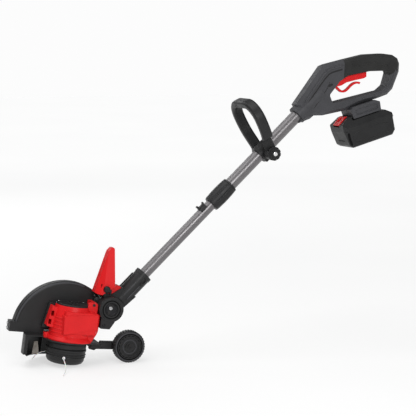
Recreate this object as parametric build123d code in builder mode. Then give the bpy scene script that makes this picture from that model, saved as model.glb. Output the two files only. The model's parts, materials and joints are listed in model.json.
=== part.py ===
from build123d import *
import math
import os

os.makedirs("parts", exist_ok=True)

# ---------------------------------------------------------------- driving dimensions (mm)
# The frame's origin is the middle of the rear grip.  Side-view places are given as
# (distance from the foot of the motor axis, height above the ground) and shifted by these two.
GRIP_X = 724.0
GRIP_Z = 643.0

SHAFT_ANGLE = 43.0          # slope of the shaft
COLLAR_X, COLLAR_Z = 364.0, 355.0
HEAD_TILT = -8.6            # slope of the head's base
PACK_ANGLE = 16.0           # slope of the battery rail
PACK_X, PACK_Z = 720.9, 495.3

UPPER_R, UPPER_BORE = 14.2, 13.2
LOWER_R, LOWER_BORE = 12.3, 11.1
UPPER_START, UPPER_END = -20.0, 312.0
LOWER_START, LOWER_END = -302.0, 230.0
RUN = 0.05                  # radial clearance of a running fit
GAP = 0.3                   # free gap between pieces that move past each other

TILT_U, TILT_W = 78.0, 133.0    # tilt axis in the head's frame
PEDAL_U, PEDAL_W = 66.0, 174.0  # pedal's pin
PEDAL_PIN_R = 2.5
PLUNGER_U, PLUNGER_Y = 77.0, -17.3
PLUNGER_R = 1.5
PEDAL_EAR = 19.7                # outer face of the ears that carry the pedal
DISC_R = 27.0
BARREL_R = 24.0
RING_R, RING_NEAR, RING_FAR = 26.4, 31.0, 47.0    # toothed ring on the far side
EYE_HALF = 15.0                 # half width of the neck's eye

HOOD_R = 46.0                   # motor housing
HOOD_U = 4.0                    # its middle, measured from the motor axis
CAP_R = 36.6
FLANGE_BOTTOM, FLANGE_TOP = 53.0, 56.0
HOOD_TOP = 131.0
SEAM_Y = 8.0                    # where the red and black motor shells meet

SPOOL_R = 42.5
GUARD_R = 112.5
GUARD_U, GUARD_W = -4.0, 65.0
GUARD_BOTTOM = 60.0
GUARD_NEAR, GUARD_FAR = 20.0, 45.0
SKIRT_R = 95.5

WHEEL_U, WHEEL_W = 130.2, 55.4
WHEEL_R = 35.0
WHEEL_NEAR, WHEEL_FAR = 40.0, 19.5   # distances towards the near side

LOOP_S, LOOP_H = 141.5, -6.5
LOOP_LEAN = 26.3
HANDLE_HALF = 19.0

nodes = []


def save(piece, label):
    """Label a finished piece and write it under its node's name."""
    piece.label = label
    export_step(piece, f"parts/{label}.step")
    nodes.append(label)


def side_frame(x, z, angle):
    """Side view: local x at the given slope, local y square to it, local z to the near side."""
    turn = math.radians(angle)
    return Plane(
        origin=(x - GRIP_X, 0, z - GRIP_Z),
        x_dir=(math.cos(turn), 0, math.sin(turn)),
        z_dir=(0, -1, 0),
    )


def end_on(frame, x, y=0, depth=0):
    """Plane square to a frame's x axis; its own x is +Y, its own y is the frame's."""
    return Plane(origin=frame.from_local_coords((x, y, depth)), x_dir=(0, 1, 0), z_dir=frame.x_dir)


def top_down(frame, y, x=0):
    """Plane square to a frame's y axis; its own x is the frame's, its own y is +Y."""
    return Plane(origin=frame.from_local_coords((x, y, 0)), x_dir=frame.x_dir, z_dir=frame.y_dir)


SIDE = side_frame(0, 0, 0)
SHAFT = side_frame(COLLAR_X, COLLAR_Z, SHAFT_ANGLE)
HEAD = side_frame(0, 0, HEAD_TILT)
PACK = side_frame(PACK_X, PACK_Z, PACK_ANGLE)
LOOP_PIVOT = SHAFT.from_local_coords((LOOP_S, LOOP_H, 0))
LOOP = Plane(
    origin=LOOP_PIVOT,
    x_dir=(0, 1, 0),
    z_dir=(math.cos(math.radians(LOOP_LEAN)), 0, math.sin(math.radians(LOOP_LEAN))),
)


def tube(frame, start, end, outer, bore, at_y=0):
    """Round tube along a frame's x axis."""
    with BuildPart() as made:
        with BuildSketch(end_on(frame, start, at_y)):
            Circle(outer)
            if bore:
                Circle(bore, mode=Mode.SUBTRACT)
        extrude(amount=end - start)
    return made.part


def pin_across(frame, x, y, radius, near, far, bore=0):
    """Round bar along Y, from `near` (towards -Y) to `far` (negative is towards +Y)."""
    with BuildPart() as made:
        with BuildSketch(frame.offset(far)):
            with Locations((x, y)):
                Circle(radius)
                if bore:
                    Circle(bore, mode=Mode.SUBTRACT)
        extrude(amount=near - far)
    return made.part


def bar_beside(frame, x, y, radius, side, inner, outer, bore=0):
    """Round bar on one side of the middle plane, from `inner` to `outer` away from it."""
    ends = sorted((side * inner, side * outer))
    return pin_across(frame, x, y, radius, ends[1], ends[0], bore)


def post(frame, u, depth, bottom, top, radius, bore=0):
    """Round post along a frame's y axis; depth is the place along +Y."""
    with BuildPart() as made:
        with BuildSketch(top_down(frame, bottom)):
            with Locations((u, depth)):
                Circle(radius)
                if bore:
                    Circle(bore, mode=Mode.SUBTRACT)
        extrude(amount=top - bottom)
    return made.part


def block(frame, x0, x1, y0, y1, near, far):
    """Straight block in a frame; near and far are depths towards -Y."""
    with BuildPart() as made:
        with BuildSketch(frame.offset(far)):
            with Locations(((x0 + x1) / 2, (y0 + y1) / 2)):
                Rectangle(x1 - x0, y1 - y0)
        extrude(amount=near - far)
    return made.part


def plate(frame, outline, near, far, corner=0):
    """Plate cut to a side-view outline with rounded corners."""
    with BuildPart() as made:
        with BuildSketch(frame.offset(far)) as cut:
            with BuildLine():
                Polyline(*outline, close=True)
            make_face()
            if corner:
                fillet(cut.vertices(), corner)
        extrude(amount=near - far)
    return made.part


# ================================================================ shaft
# ---- upper tube, fixed in the rear handle
with BuildPart() as upper_tube:
    add(tube(SHAFT, UPPER_START, UPPER_END, UPPER_R, UPPER_BORE))
save(upper_tube.part, "upper_tube")

# ---- lower tube, slides in the upper one
with BuildPart() as lower_tube:
    add(tube(SHAFT, LOWER_START, LOWER_END, LOWER_R, LOWER_BORE))
save(lower_tube.part, "lower_tube")

# ---- swivel bush between the two tubes, with its flange outside the upper tube's end
BUSH_FLANGE_R = 14.8
with BuildPart() as swivel_bush:
    add(tube(SHAFT, -26.8, UPPER_START - 0.2, BUSH_FLANGE_R, LOWER_R + RUN))
    add(tube(SHAFT, UPPER_START - 0.2, 15, UPPER_BORE - RUN, LOWER_R + RUN))
save(swivel_bush.part, "swivel_bush")

# ---- clamp bush, threaded sleeve fixed round the end of the upper tube
CLAMP_R = 16.0
with BuildPart() as clamp_bush:
    add(tube(SHAFT, UPPER_START, 18, CLAMP_R, UPPER_R))
    for ridge in range(6):
        with BuildSketch(end_on(SHAFT, UPPER_START + 4 + ridge * 5.5)):
            Circle(CLAMP_R + 0.8)
            Circle(CLAMP_R - 0.5, mode=Mode.SUBTRACT)
        extrude(amount=2)
save(clamp_bush.part, "clamp_bush")

# ---- locking collar, turned by hand to free the tubes
COLLAR_HALF = 31.0
COLLAR_SEAT = CLAMP_R + 0.8 + RUN
FLUTES = 10
with BuildPart() as locking_collar:
    with BuildSketch(SHAFT) as collar_profile:
        with BuildLine():
            Polyline(
                (-COLLAR_HALF, LOWER_R + 0.4),
                (-COLLAR_HALF, 17.4),
                (-COLLAR_HALF + 2, 17.4),
                (-COLLAR_HALF + 2, 18.2),
            )
            ThreePointArc((-COLLAR_HALF + 2, 18.2), (0, 19.7), (COLLAR_HALF - 5, 18.4))
            Polyline(
                (COLLAR_HALF - 5, 18.4),
                (COLLAR_HALF - 5, 17.4),
                (COLLAR_HALF - 3.5, 17.4),
                (COLLAR_HALF - 3.5, 18.2),
                (COLLAR_HALF, 17.8),
                (COLLAR_HALF, UPPER_R + 0.4),
                (20, UPPER_R + 0.4),
                (20, COLLAR_SEAT),
                (-27.4, COLLAR_SEAT),
                (-27.4, LOWER_R + 0.4),
                (-COLLAR_HALF, LOWER_R + 0.4),
            )
        make_face()
    revolve(axis=Axis(SHAFT.origin, SHAFT.x_dir))
    with BuildSketch(end_on(SHAFT, -22)):
        with PolarLocations(20.6, FLUTES):
            Circle(2.6)
    extrude(amount=43, mode=Mode.SUBTRACT)
save(locking_collar.part, "locking_collar")

# ---- hook on the lower tube that keeps a spare lead or strap tidy
with BuildPart() as tube_hook:
    add(tube(SHAFT, -60, -43, LOWER_R + 2.2, LOWER_R))
    add(block(SHAFT, -70, -30, -20, 6, 20, -20), mode=Mode.SUBTRACT)
    add(plate(SHAFT, [(-60, LOWER_R + 1), (-43, LOWER_R + 1), (-41, 18.5), (-44, 18.5), (-46, 15.5),
                      (-55, 15.5), (-57, 21), (-61, 20)], 4, -4, 0.6))
save(tube_hook.part, "tube_hook")

# ================================================================ neck
NECK_R = 19.0
NECK_TOP = -248.0
TILT_POINT = HEAD.from_local_coords((TILT_U, TILT_W, 0))
TILT_LOCAL = SHAFT.to_local_coords(TILT_POINT)
PIN_R = 7.0
BUTTON_SIDE = [(-337.6, 24), (-305.4, 15.5), (-304.6, 26), (-309, 31), (-332, 39), (-338, 36)]
BUTTON_HALF = 11.0
BUTTON_POCKET = [(-338.4, 21), (-304.2, 12), (-304, 42), (-338.4, 42)]
with BuildPart() as neck_socket:
    add(tube(SHAFT, TILT_LOCAL.X + DISC_R + 4, NECK_TOP, NECK_R, 0))
    add(tube(SHAFT, NECK_TOP - 6, NECK_TOP + 1.5, NECK_R + 1, 0))
    with BuildSketch(SHAFT.offset(-EYE_HALF)):
        with Locations((TILT_LOCAL.X, TILT_LOCAL.Y)):
            Circle(BARREL_R)
        with BuildLine():
            Polyline(
                (TILT_LOCAL.X, TILT_LOCAL.Y + BARREL_R - 0.5),
                (TILT_LOCAL.X + 52, 18),
                (TILT_LOCAL.X + 60, -18),
                (TILT_LOCAL.X + 14, TILT_LOCAL.Y - BARREL_R),
                close=True,
            )
        make_face()
    extrude(amount=2 * EYE_HALF)
    for rib in (-1, 1):
        add(block(SHAFT, -318, -262, NECK_R - 3, NECK_R + 1.2, rib * 6 + 1.2, rib * 6 - 1.2))
    add(block(SHAFT, -272, -266, -9, -4, NECK_R + 2, NECK_R - 4))
    add(plate(SHAFT, [(-345, 16), (-341.5, 29), (-302, 19), (-296, 10)], 13.6, -13.6, 1))
    # sockets for the tube, the tilt pin, the release button and the two fixing screws
    add(tube(SHAFT, LOWER_START, NECK_TOP + 2, LOWER_R, 0), mode=Mode.SUBTRACT)
    add(pin_across(SHAFT, TILT_LOCAL.X, TILT_LOCAL.Y, PIN_R + RUN, 20, -20), mode=Mode.SUBTRACT)
    add(plate(SHAFT, BUTTON_POCKET, BUTTON_HALF + 0.4, -BUTTON_HALF - 0.4), mode=Mode.SUBTRACT)
    for place in (-290, -262):
        add(post(SHAFT, place, 0, -25, -LOWER_BORE, 1.8), mode=Mode.SUBTRACT)
        add(post(SHAFT, place, 0, -25, -NECK_R + 2, 3.4), mode=Mode.SUBTRACT)
save(neck_socket.part, "neck_socket")

with BuildPart() as neck_screws:
    for place in (-290, -262):
        add(post(SHAFT, place, 0, -NECK_R + 0.4, -NECK_R + 2, 3.3))
        add(post(SHAFT, place, 0, -NECK_R + 2, -LOWER_R - 0.1, 1.75))
save(neck_screws.part, "neck_screws")

# ---- release button let into the top of the neck
with BuildPart() as tilt_button:
    add(plate(SHAFT, BUTTON_SIDE, BUTTON_HALF, -BUTTON_HALF))
    fillet(tilt_button.edges().filter_by(Axis.Y).sort_by(Axis(SHAFT.origin, SHAFT.y_dir))[-3:], 1.6)
save(tilt_button.part, "tilt_button")

# ================================================================ head
MOTOR_AXIS = Axis(HEAD.origin, HEAD.y_dir)


def turned(profile, u=0.0):
    """Solid of revolution from (radius, height) points, about a line beside the motor axis."""
    with BuildPart() as made:
        with BuildSketch(HEAD):
            with BuildLine():
                Polyline(*[(u + radius, height) for radius, height in profile], close=True)
            make_face()
        revolve(axis=Axis(HEAD.from_local_coords((u, 0, 0)), HEAD.y_dir))
    return made.part


def hood_solid(inset=0.0):
    """Outer form of the motor housing, or the hollow inside it when inset."""
    low = FLANGE_TOP + inset
    with BuildPart() as made:
        add(turned([
            (0, low), (51.5 - inset, low), (51.5 - inset, low + 2.5), (HOOD_R + 0.5 - inset, 67),
            (HOOD_R - 1.5 - inset, 100), (41 - inset, 121), (38.5 - inset, HOOD_TOP), (0, HOOD_TOP),
        ], HOOD_U))
        with BuildSketch(top_down(HEAD, low)):
            with Locations((28, 0)):
                RectangleRounded(2 * (29 - inset), 2 * (35 - inset), 7)
        extrude(amount=118 - 2 * inset - FLANGE_TOP)
        with BuildSketch(top_down(HEAD, 76 + inset)):
            with Locations((12, -25)):
                RectangleRounded(2 * (36 - inset), 2 * (24 - inset), 5)
        extrude(amount=46 - 2 * inset)
        # the foot slopes in below the bracket
        slope = inset * 1.5
        add(plate(HEAD, [(58 - slope, 86), (39 - slope, 50), (70, 50),
                         (70, 86)], 60, -60), mode=Mode.SUBTRACT)
    return made.part


def sector(frame_height, inner, outer, thickness, start, sweep):
    """Flat ring sector about the motor axis, angles from +u towards +Y."""
    with BuildPart() as made:
        with BuildSketch(top_down(HEAD, frame_height)):
            with BuildLine():
                CenterArc((0, 0), outer, start, sweep)
                CenterArc((0, 0), inner, start, sweep)
                for angle in (start, start + sweep):
                    turn = math.radians(angle)
                    Line(
                        (inner * math.cos(turn), inner * math.sin(turn)),
                        (outer * math.cos(turn), outer * math.sin(turn)),
                    )
            make_face()
        extrude(amount=thickness)
    return made.part


SHELL = 2.6
NEAR_BLOCK = block(HEAD, -90, 90, 40, 170, 90, -SEAM_Y)
FAR_BLOCK = block(HEAD, -90, 90, 40, 170, -SEAM_Y, -90)
WALL_BETWEEN_EARS = EYE_HALF + GAP
hood_outer = hood_solid()
hood_inner = hood_solid(SHELL)

# ---- bracket: two ears round the neck's eye, joined below it, screwed to the motor housing
with BuildPart() as head_bracket:
    for near, far in ((39, WALL_BETWEEN_EARS), (-WALL_BETWEEN_EARS, -RING_NEAR)):
        add(pin_across(HEAD, TILT_U, TILT_W, DISC_R if near > 0 else BARREL_R, near, far))
        add(plate(HEAD, [(58.3, 126), (58.3, 90), (80, 90), (88, 104), (96, 122), (78, 133)],
                  near - 2 if near > 0 else near, far if near > 0 else far + 6, 2))
    add(block(HEAD, 58.3, 82, 90, 104, 20, -20))
    for near, far in ((PEDAL_EAR, WALL_BETWEEN_EARS + 1), (-WALL_BETWEEN_EARS - 1, -PEDAL_EAR)):
        add(plate(HEAD, [(72, 145), (64, 153), (61, 168), (62, 179), (70.5, 179), (71.5, 165),
                         (84, 154)], near, far, 2))
    add(pin_across(HEAD, PEDAL_U, PEDAL_W, PEDAL_PIN_R, 40, -40), mode=Mode.SUBTRACT)
    add(post(HEAD, PLUNGER_U, PLUNGER_Y, 143, 165, PLUNGER_R + RUN), mode=Mode.SUBTRACT)
    add(pin_across(HEAD, TILT_U, TILT_W, PIN_R, 40, -40), mode=Mode.SUBTRACT)
    # ring groove and recess in the near disc
    add(pin_across(HEAD, TILT_U, TILT_W, 20.5, 41, 37, 18), mode=Mode.SUBTRACT)
    add(pin_across(HEAD, TILT_U, TILT_W, 15, 41, 36.5), mode=Mode.SUBTRACT)
    add(pin_across(HEAD, 66, 97, 2, 40, 8), mode=Mode.SUBTRACT)
    add(pin_across(HEAD, 66, 97, 3.4, 40, 35), mode=Mode.SUBTRACT)
save(head_bracket.part, "head_bracket")

# ---- tilt pin with its head in the near disc
with BuildPart() as tilt_pin:
    add(pin_across(HEAD, TILT_U, TILT_W, PIN_R - 0.02, 37, -44))
    add(pin_across(HEAD, TILT_U, TILT_W, 13.5, 38.6, 36.5))
    fillet(tilt_pin.edges().filter_by(GeomType.CIRCLE).sort_by(Axis.Y)[0], 1)
    add(pin_across(HEAD, TILT_U - 2, TILT_W + 3, 4.5, 41, 37.4), mode=Mode.SUBTRACT)
save(tilt_pin.part, "tilt_pin")

# ---- toothed index ring on the far end of the barrel
with BuildPart() as index_ring:
    add(pin_across(HEAD, TILT_U, TILT_W, RING_R, -RING_NEAR, -RING_FAR))
    with BuildSketch(HEAD.offset(-RING_FAR)):
        with Locations((TILT_U, TILT_W)):
            with PolarLocations(RING_R + 0.4, 36):
                Circle(1.1)
    extrude(amount=RING_FAR - RING_NEAR, mode=Mode.SUBTRACT)
    add(pin_across(HEAD, TILT_U, TILT_W, PIN_R, -RING_NEAR + 1, -RING_FAR - 1), mode=Mode.SUBTRACT)
save(index_ring.part, "index_ring")

# ---- motor shells: red front and black rear, split across the motor axis
LUG_U, LUG_W = 41.0, 138.0
LUG_SIDE = [(24, 118), (50, 118), (50, 139), (47, 143), (24, 143)]
LUG_NEAR, LUG_FAR = 28.0, 14.0
with BuildPart() as motor_shell_front:
    add(hood_outer)
    # raised panel, wavy ribs, foot ears and the lug beside the cap
    add(plate(HEAD, [(-27, 113), (47, 120), (47, 90), (-24, 73)], 50.4, 30, 2))
    for rib in range(5):
        with BuildSketch(HEAD):
            with Locations((HOOD_U - HOOD_R + 1.4 + rib * 0.2, 74 + rib * 9)):
                Ellipse(2.4, 3.2)
        revolve(axis=Axis(HEAD.from_local_coords((HOOD_U, 0, 0)), HEAD.y_dir), revolution_arc=-75)
    add(plate(HEAD, [(-54, 84), (-36, 80), (-32, 124), (-45, 128)], 14, -SEAM_Y, 2))
    add(post(HEAD, -47, 3, FLANGE_TOP, 68, 7))
    add(NEAR_BLOCK, mode=Mode.INTERSECT)
    add(plate(HEAD, LUG_SIDE, LUG_NEAR, -LUG_FAR, 2))
    add(hood_inner, mode=Mode.SUBTRACT)
    add(post(HEAD, HOOD_U, 0, HOOD_TOP - 2, 150, CAP_R + 0.2), mode=Mode.SUBTRACT)
    add(post(HEAD, 0, 0, 50, 62, 34), mode=Mode.SUBTRACT)
    add(pin_across(HEAD, TILT_U, TILT_W, DISC_R + GAP, 60, -60), mode=Mode.SUBTRACT)
    add(pin_across(HEAD, LUG_U, LUG_W, 1.85, 30, 19.5), mode=Mode.SUBTRACT)
    add(pin_across(HEAD, LUG_U, LUG_W, 3.1, 32, 27.9), mode=Mode.SUBTRACT)
    for slot in range(2):
        add(block(HEAD, -51 + slot * 4, -44.5 + slot * 4, 88 + slot * 18, 99 + slot * 18, 20, -SEAM_Y - 1),
            mode=Mode.SUBTRACT)
    add(block(HEAD, 58, 90, 50, 160, 60, -60), mode=Mode.SUBTRACT)
save(motor_shell_front.part, "motor_shell_front")

with BuildPart() as motor_shell_rear:
    add(hood_outer)
    add(plate(HEAD, [(-58, 76), (-36, 76), (-30, 130), (-47, 132)], 10, -20, 3))
    add(FAR_BLOCK, mode=Mode.INTERSECT)
    add(hood_inner, mode=Mode.SUBTRACT)
    add(block(HEAD, 20, 60, 117.8, 150, 40, -LUG_FAR - 0.2), mode=Mode.SUBTRACT)
    add(post(HEAD, HOOD_U, 0, HOOD_TOP - 2, 150, CAP_R + 0.2), mode=Mode.SUBTRACT)
    add(post(HEAD, 0, 0, 50, 62, 34), mode=Mode.SUBTRACT)
    add(pin_across(HEAD, TILT_U, TILT_W, DISC_R + GAP, 60, -60), mode=Mode.SUBTRACT)
    for slot in range(6):
        add(block(HEAD, -24 + slot * 9, -20 + slot * 9, 80, 112, -20, -70), mode=Mode.SUBTRACT)
save(motor_shell_rear.part, "motor_shell_rear")

# ---- vented cap on top of the motor housing
with BuildPart() as vent_cap:
    add(post(HEAD, HOOD_U, 0, HOOD_TOP - 2, HOOD_TOP + 3.5, CAP_R))
    fillet(vent_cap.faces().sort_by(MOTOR_AXIS)[-1].edges(), 2)
    with BuildSketch(top_down(HEAD, HOOD_TOP - 3)):
        with Locations((HOOD_U, 0)):
            with PolarLocations(22, 18):
                SlotOverall(18, 2.6)
            Circle(6)
    extrude(amount=9, mode=Mode.SUBTRACT)
save(vent_cap.part, "vent_cap")

# ---- motor: can, bearings, rotor and fan
CAN_R, CAN_LOW, CAN_HIGH = 22.0, 70.0, 124.0
SHAFT_R = 2.5
with BuildPart() as motor_can:
    add(post(HEAD, 0, 0, CAN_LOW, CAN_HIGH, CAN_R, 20.6))
    for low, high in ((CAN_LOW, CAN_LOW + 4), (CAN_HIGH - 4, CAN_HIGH)):
        add(post(HEAD, 0, 0, low, high, CAN_R, 8))
    for side in (-1, 1):
        add(block(HEAD, side * 19.4 - 1.4, side * 19.4 + 1.4, 82, 112, 6, -6))
save(motor_can.part, "motor_can")

with BuildPart() as motor_bearings:
    for low in (CAN_LOW, CAN_HIGH - 4):
        add(post(HEAD, 0, 0, low, low + 4, 8, SHAFT_R + RUN))
save(motor_bearings.part, "motor_bearings")

with BuildPart() as rotor:
    add(post(HEAD, 0, 0, 42, 127, SHAFT_R))
    with BuildSketch(top_down(HEAD, 82)):
        Circle(16.5)
        with PolarLocations(14.5, 5):
            Rectangle(6, 2.4, mode=Mode.SUBTRACT)
    extrude(amount=30)
    add(post(HEAD, 0, 0, 113, 118, 8))
save(rotor.part, "rotor")

FAN_LOW = 60.0
with BuildPart() as cooling_fan:
    add(post(HEAD, 0, 0, FAN_LOW, FAN_LOW + 7, 6, SHAFT_R))
    add(post(HEAD, 0, 0, FAN_LOW, FAN_LOW + 1.5, 30, SHAFT_R))
    with BuildSketch(top_down(HEAD, FAN_LOW)):
        with PolarLocations(18, 9):
            Rectangle(23, 1.4, rotation=18)
    extrude(amount=6.5)
save(cooling_fan.part, "cooling_fan")

# ---- screws through the rear shell into the red one, and through the bracket's near ear
with BuildPart() as housing_screws:
    add(pin_across(HEAD, 66, 97, 1.9, 38, 22))
    add(pin_across(HEAD, 66, 97, 3.2, 37, 35.2))
    add(pin_across(HEAD, LUG_U, LUG_W, 1.8, 28, 20))
    add(pin_across(HEAD, LUG_U, LUG_W, 3, 29, 28))
    add(post(HEAD, -50.3, 2, 68, 69, 2.8))
save(housing_screws.part, "housing_screws")

# ---- base flange under the housing
with BuildPart() as base_flange:
    with BuildSketch(top_down(HEAD, FLANGE_BOTTOM)):
        Circle(53)
        with Locations((34, 0)):
            RectangleRounded(66, 74, 8)
        Circle(12, mode=Mode.SUBTRACT)
    extrude(amount=FLANGE_TOP - FLANGE_BOTTOM)
    add(post(HEAD, 0, 0, FLANGE_TOP, FLANGE_TOP + 2, 20, 12))
save(base_flange.part, "base_flange")

# ---- guard: half-disc pan standing behind the housing
with BuildPart() as guard:
    add(pin_across(HEAD, GUARD_U, GUARD_W, GUARD_R, -GUARD_NEAR, -GUARD_FAR))
    chamfer(guard.edges().filter_by(GeomType.CIRCLE).sort_by(Axis.Y)[0], 6)
    add(pin_across(HEAD, GUARD_U, GUARD_W, GUARD_R - 6, -GUARD_NEAR - 3, -GUARD_FAR), mode=Mode.SUBTRACT)
    add(pin_across(HEAD, GUARD_U, GUARD_W, GUARD_R - 3, -GUARD_NEAR - 7, -GUARD_FAR - 1),
        mode=Mode.SUBTRACT)
    add(block(HEAD, -125, -106, GUARD_BOTTOM, 82, -GUARD_NEAR, -GUARD_FAR))
    add(block(HEAD, -120, -106, GUARD_BOTTOM + 3, 79, -GUARD_NEAR - 3, -GUARD_FAR - 1), mode=Mode.SUBTRACT)
    add(block(HEAD, -130, 130, -60, GUARD_BOTTOM, 0, -60), mode=Mode.SUBTRACT)
    add(block(HEAD, -111, -20, GUARD_BOTTOM, GUARD_BOTTOM + 3, -GUARD_NEAR, -GUARD_FAR))
    # open below the tilt barrel and round the motor housing
    add(plate(HEAD, [(20, 40), (140, 40), (140, 135), (62, 135), (50, 100), (20, 100)], 0, -60),
        mode=Mode.SUBTRACT)
    add(pin_across(HEAD, TILT_U, TILT_W, BARREL_R + 2.5, 0, -60), mode=Mode.SUBTRACT)
    add(block(HEAD, 53, 90, 134, 176, 0, -24), mode=Mode.SUBTRACT)
    add(hood_solid(-0.4), mode=Mode.SUBTRACT)
    add(post(HEAD, 0, 0, 50, 70, 53.4), mode=Mode.SUBTRACT)
    add(post(HEAD, HOOD_U, 0, 110, HOOD_TOP + 0.5, 40), mode=Mode.SUBTRACT)
    add(post(HEAD, HOOD_U, 0, 110, HOOD_TOP + 4, CAP_R + 0.5), mode=Mode.SUBTRACT)
    for height in (66, 76):
        with BuildSketch(end_on(HEAD, -126.5, height, -33)):
            Circle(1.5)
        extrude(amount=8, mode=Mode.SUBTRACT)
save(guard.part, "guard")

with BuildPart() as guard_screws:
    for height in (66, 76):
        with BuildSketch(end_on(HEAD, -129, height, -33)):
            Circle(2.6)
        extrude(amount=2.6)
        with BuildSketch(end_on(HEAD, -126.4, height, -33)):
            Circle(1.45)
        extrude(amount=6)
save(guard_screws.part, "guard_screws")


def flank(angle, radius, height):
    """Plane facing outwards from the motor axis; angle from +u towards +Y, own y upwards."""
    turn = math.radians(angle)
    outwards = HEAD.x_dir * math.cos(turn) + Vector(0, math.sin(turn), 0)
    return Plane(
        origin=HEAD.from_local_coords((radius * math.cos(turn), height, -radius * math.sin(turn))),
        x_dir=HEAD.y_dir.cross(outwards),
        z_dir=outwards,
    )


# ---- skirt hanging below the guard, open towards the spool
SKIRT_START, SKIRT_SWEEP = 100.0, 86.0
SKIRT_BOTTOM = 4.0
with BuildPart() as guard_skirt:
    add(sector(SKIRT_BOTTOM, SKIRT_R - 2.5, SKIRT_R, 60 - SKIRT_BOTTOM, SKIRT_START, SKIRT_SWEEP))
    add(sector(SKIRT_BOTTOM, SKIRT_R - 12, SKIRT_R - 1, 2, SKIRT_START, SKIRT_SWEEP))
    add(sector(57.5, 55, SKIRT_R - 1, 2.5, SKIRT_START, SKIRT_SWEEP))
    for angle in (112, 146, 168, 184):
        with BuildSketch(flank(angle, SKIRT_R - 8, (SKIRT_BOTTOM + 58) / 2)):
            Rectangle(2, 58 - SKIRT_BOTTOM)
        extrude(amount=7)
    add(plate(HEAD, [(-110, 17), (-90, 17), (-72, 2), (-72, -10),
                     (-110, -10)], 40, -62), mode=Mode.SUBTRACT)
save(guard_skirt.part, "guard_skirt")

# ---- steel blade on the skirt that cuts the line to length
CUTTER_ANGLE = 127.0
with BuildPart() as line_cutter:
    with BuildSketch(flank(CUTTER_ANGLE, SKIRT_R - 14, 0)):
        with BuildLine():
            Polyline((-12, 6.2), (11, 6.2), (9, 34), (-3, 34), (-8, 20), close=True)
        make_face()
    extrude(amount=2)
save(line_cutter.part, "line_cutter")

# ---- arm that carries the edging wheel
ARM_NEAR, ARM_FAR = 17.0, 7.0
AXLE_R = 3.0
with BuildPart() as wheel_arm:
    add(plate(HEAD, [(47, 40), (47, 52.8), (67.6, 52.8), (70, 59), (104, 60.5), (128, 63), (128, 47),
                     (104, 43.5), (62, 41.5), (58, 38.5)], ARM_NEAR, ARM_FAR, 1))
    add(pin_across(HEAD, WHEEL_U, WHEEL_W, 9, ARM_NEAR, ARM_FAR))
    add(block(HEAD, 47, 62, 44, 52.9, 26, -2))
    add(pin_across(HEAD, WHEEL_U, WHEEL_W, AXLE_R, 30, 0), mode=Mode.SUBTRACT)
save(wheel_arm.part, "wheel_arm")

with BuildPart() as wheel_axle:
    add(pin_across(HEAD, WHEEL_U, WHEEL_W, AXLE_R, WHEEL_NEAR + 1, ARM_FAR - 1))
    add(pin_across(HEAD, WHEEL_U, WHEEL_W, AXLE_R + 2.5, ARM_FAR, ARM_FAR - 2))
    add(pin_across(HEAD, WHEEL_U, WHEEL_W, AXLE_R + 1.8, WHEEL_NEAR + 2.8, WHEEL_NEAR + 1))
    add(pin_across(HEAD, WHEEL_U, WHEEL_W, 2, WHEEL_NEAR + 4, WHEEL_NEAR + 1.4), mode=Mode.SUBTRACT)
save(wheel_axle.part, "wheel_axle")

# ---- edging wheel with a lugged tread, a dashed ring of slots and a raised hub
WHEEL_MID = (WHEEL_NEAR + WHEEL_FAR) / 2
TREADS = 36
DASHES = 18
with BuildPart() as edge_wheel:
    add(pin_across(HEAD, WHEEL_U, WHEEL_W, WHEEL_R, WHEEL_NEAR, WHEEL_FAR))
    chamfer(edge_wheel.edges().filter_by(GeomType.CIRCLE), 2)
    for outer, bore, deep in ((29, 26.5, 1.6), (21, 8.5, 2.5)):
        for near in (WHEEL_NEAR, WHEEL_FAR + deep):
            add(pin_across(HEAD, WHEEL_U, WHEEL_W, outer, near, near - deep, bore), mode=Mode.SUBTRACT)
    with BuildSketch(HEAD.offset(WHEEL_FAR - 1)):
        with Locations((WHEEL_U, WHEEL_W)):
            with PolarLocations(WHEEL_R + 0.4, TREADS):
                Rectangle(3.4, 2.4)
    extrude(amount=WHEEL_NEAR - WHEEL_FAR + 2, mode=Mode.SUBTRACT)
    with BuildSketch(HEAD.offset(WHEEL_FAR - 1)):
        with Locations((WHEEL_U, WHEEL_W)):
            with PolarLocations(24, DASHES):
                SlotOverall(6.4, 1.7, rotation=90)
    extrude(amount=WHEEL_NEAR - WHEEL_FAR + 2, mode=Mode.SUBTRACT)
    add(pin_across(HEAD, WHEEL_U, WHEEL_W, AXLE_R + RUN, 50, 0), mode=Mode.SUBTRACT)
save(edge_wheel.part, "edge_wheel")

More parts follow.
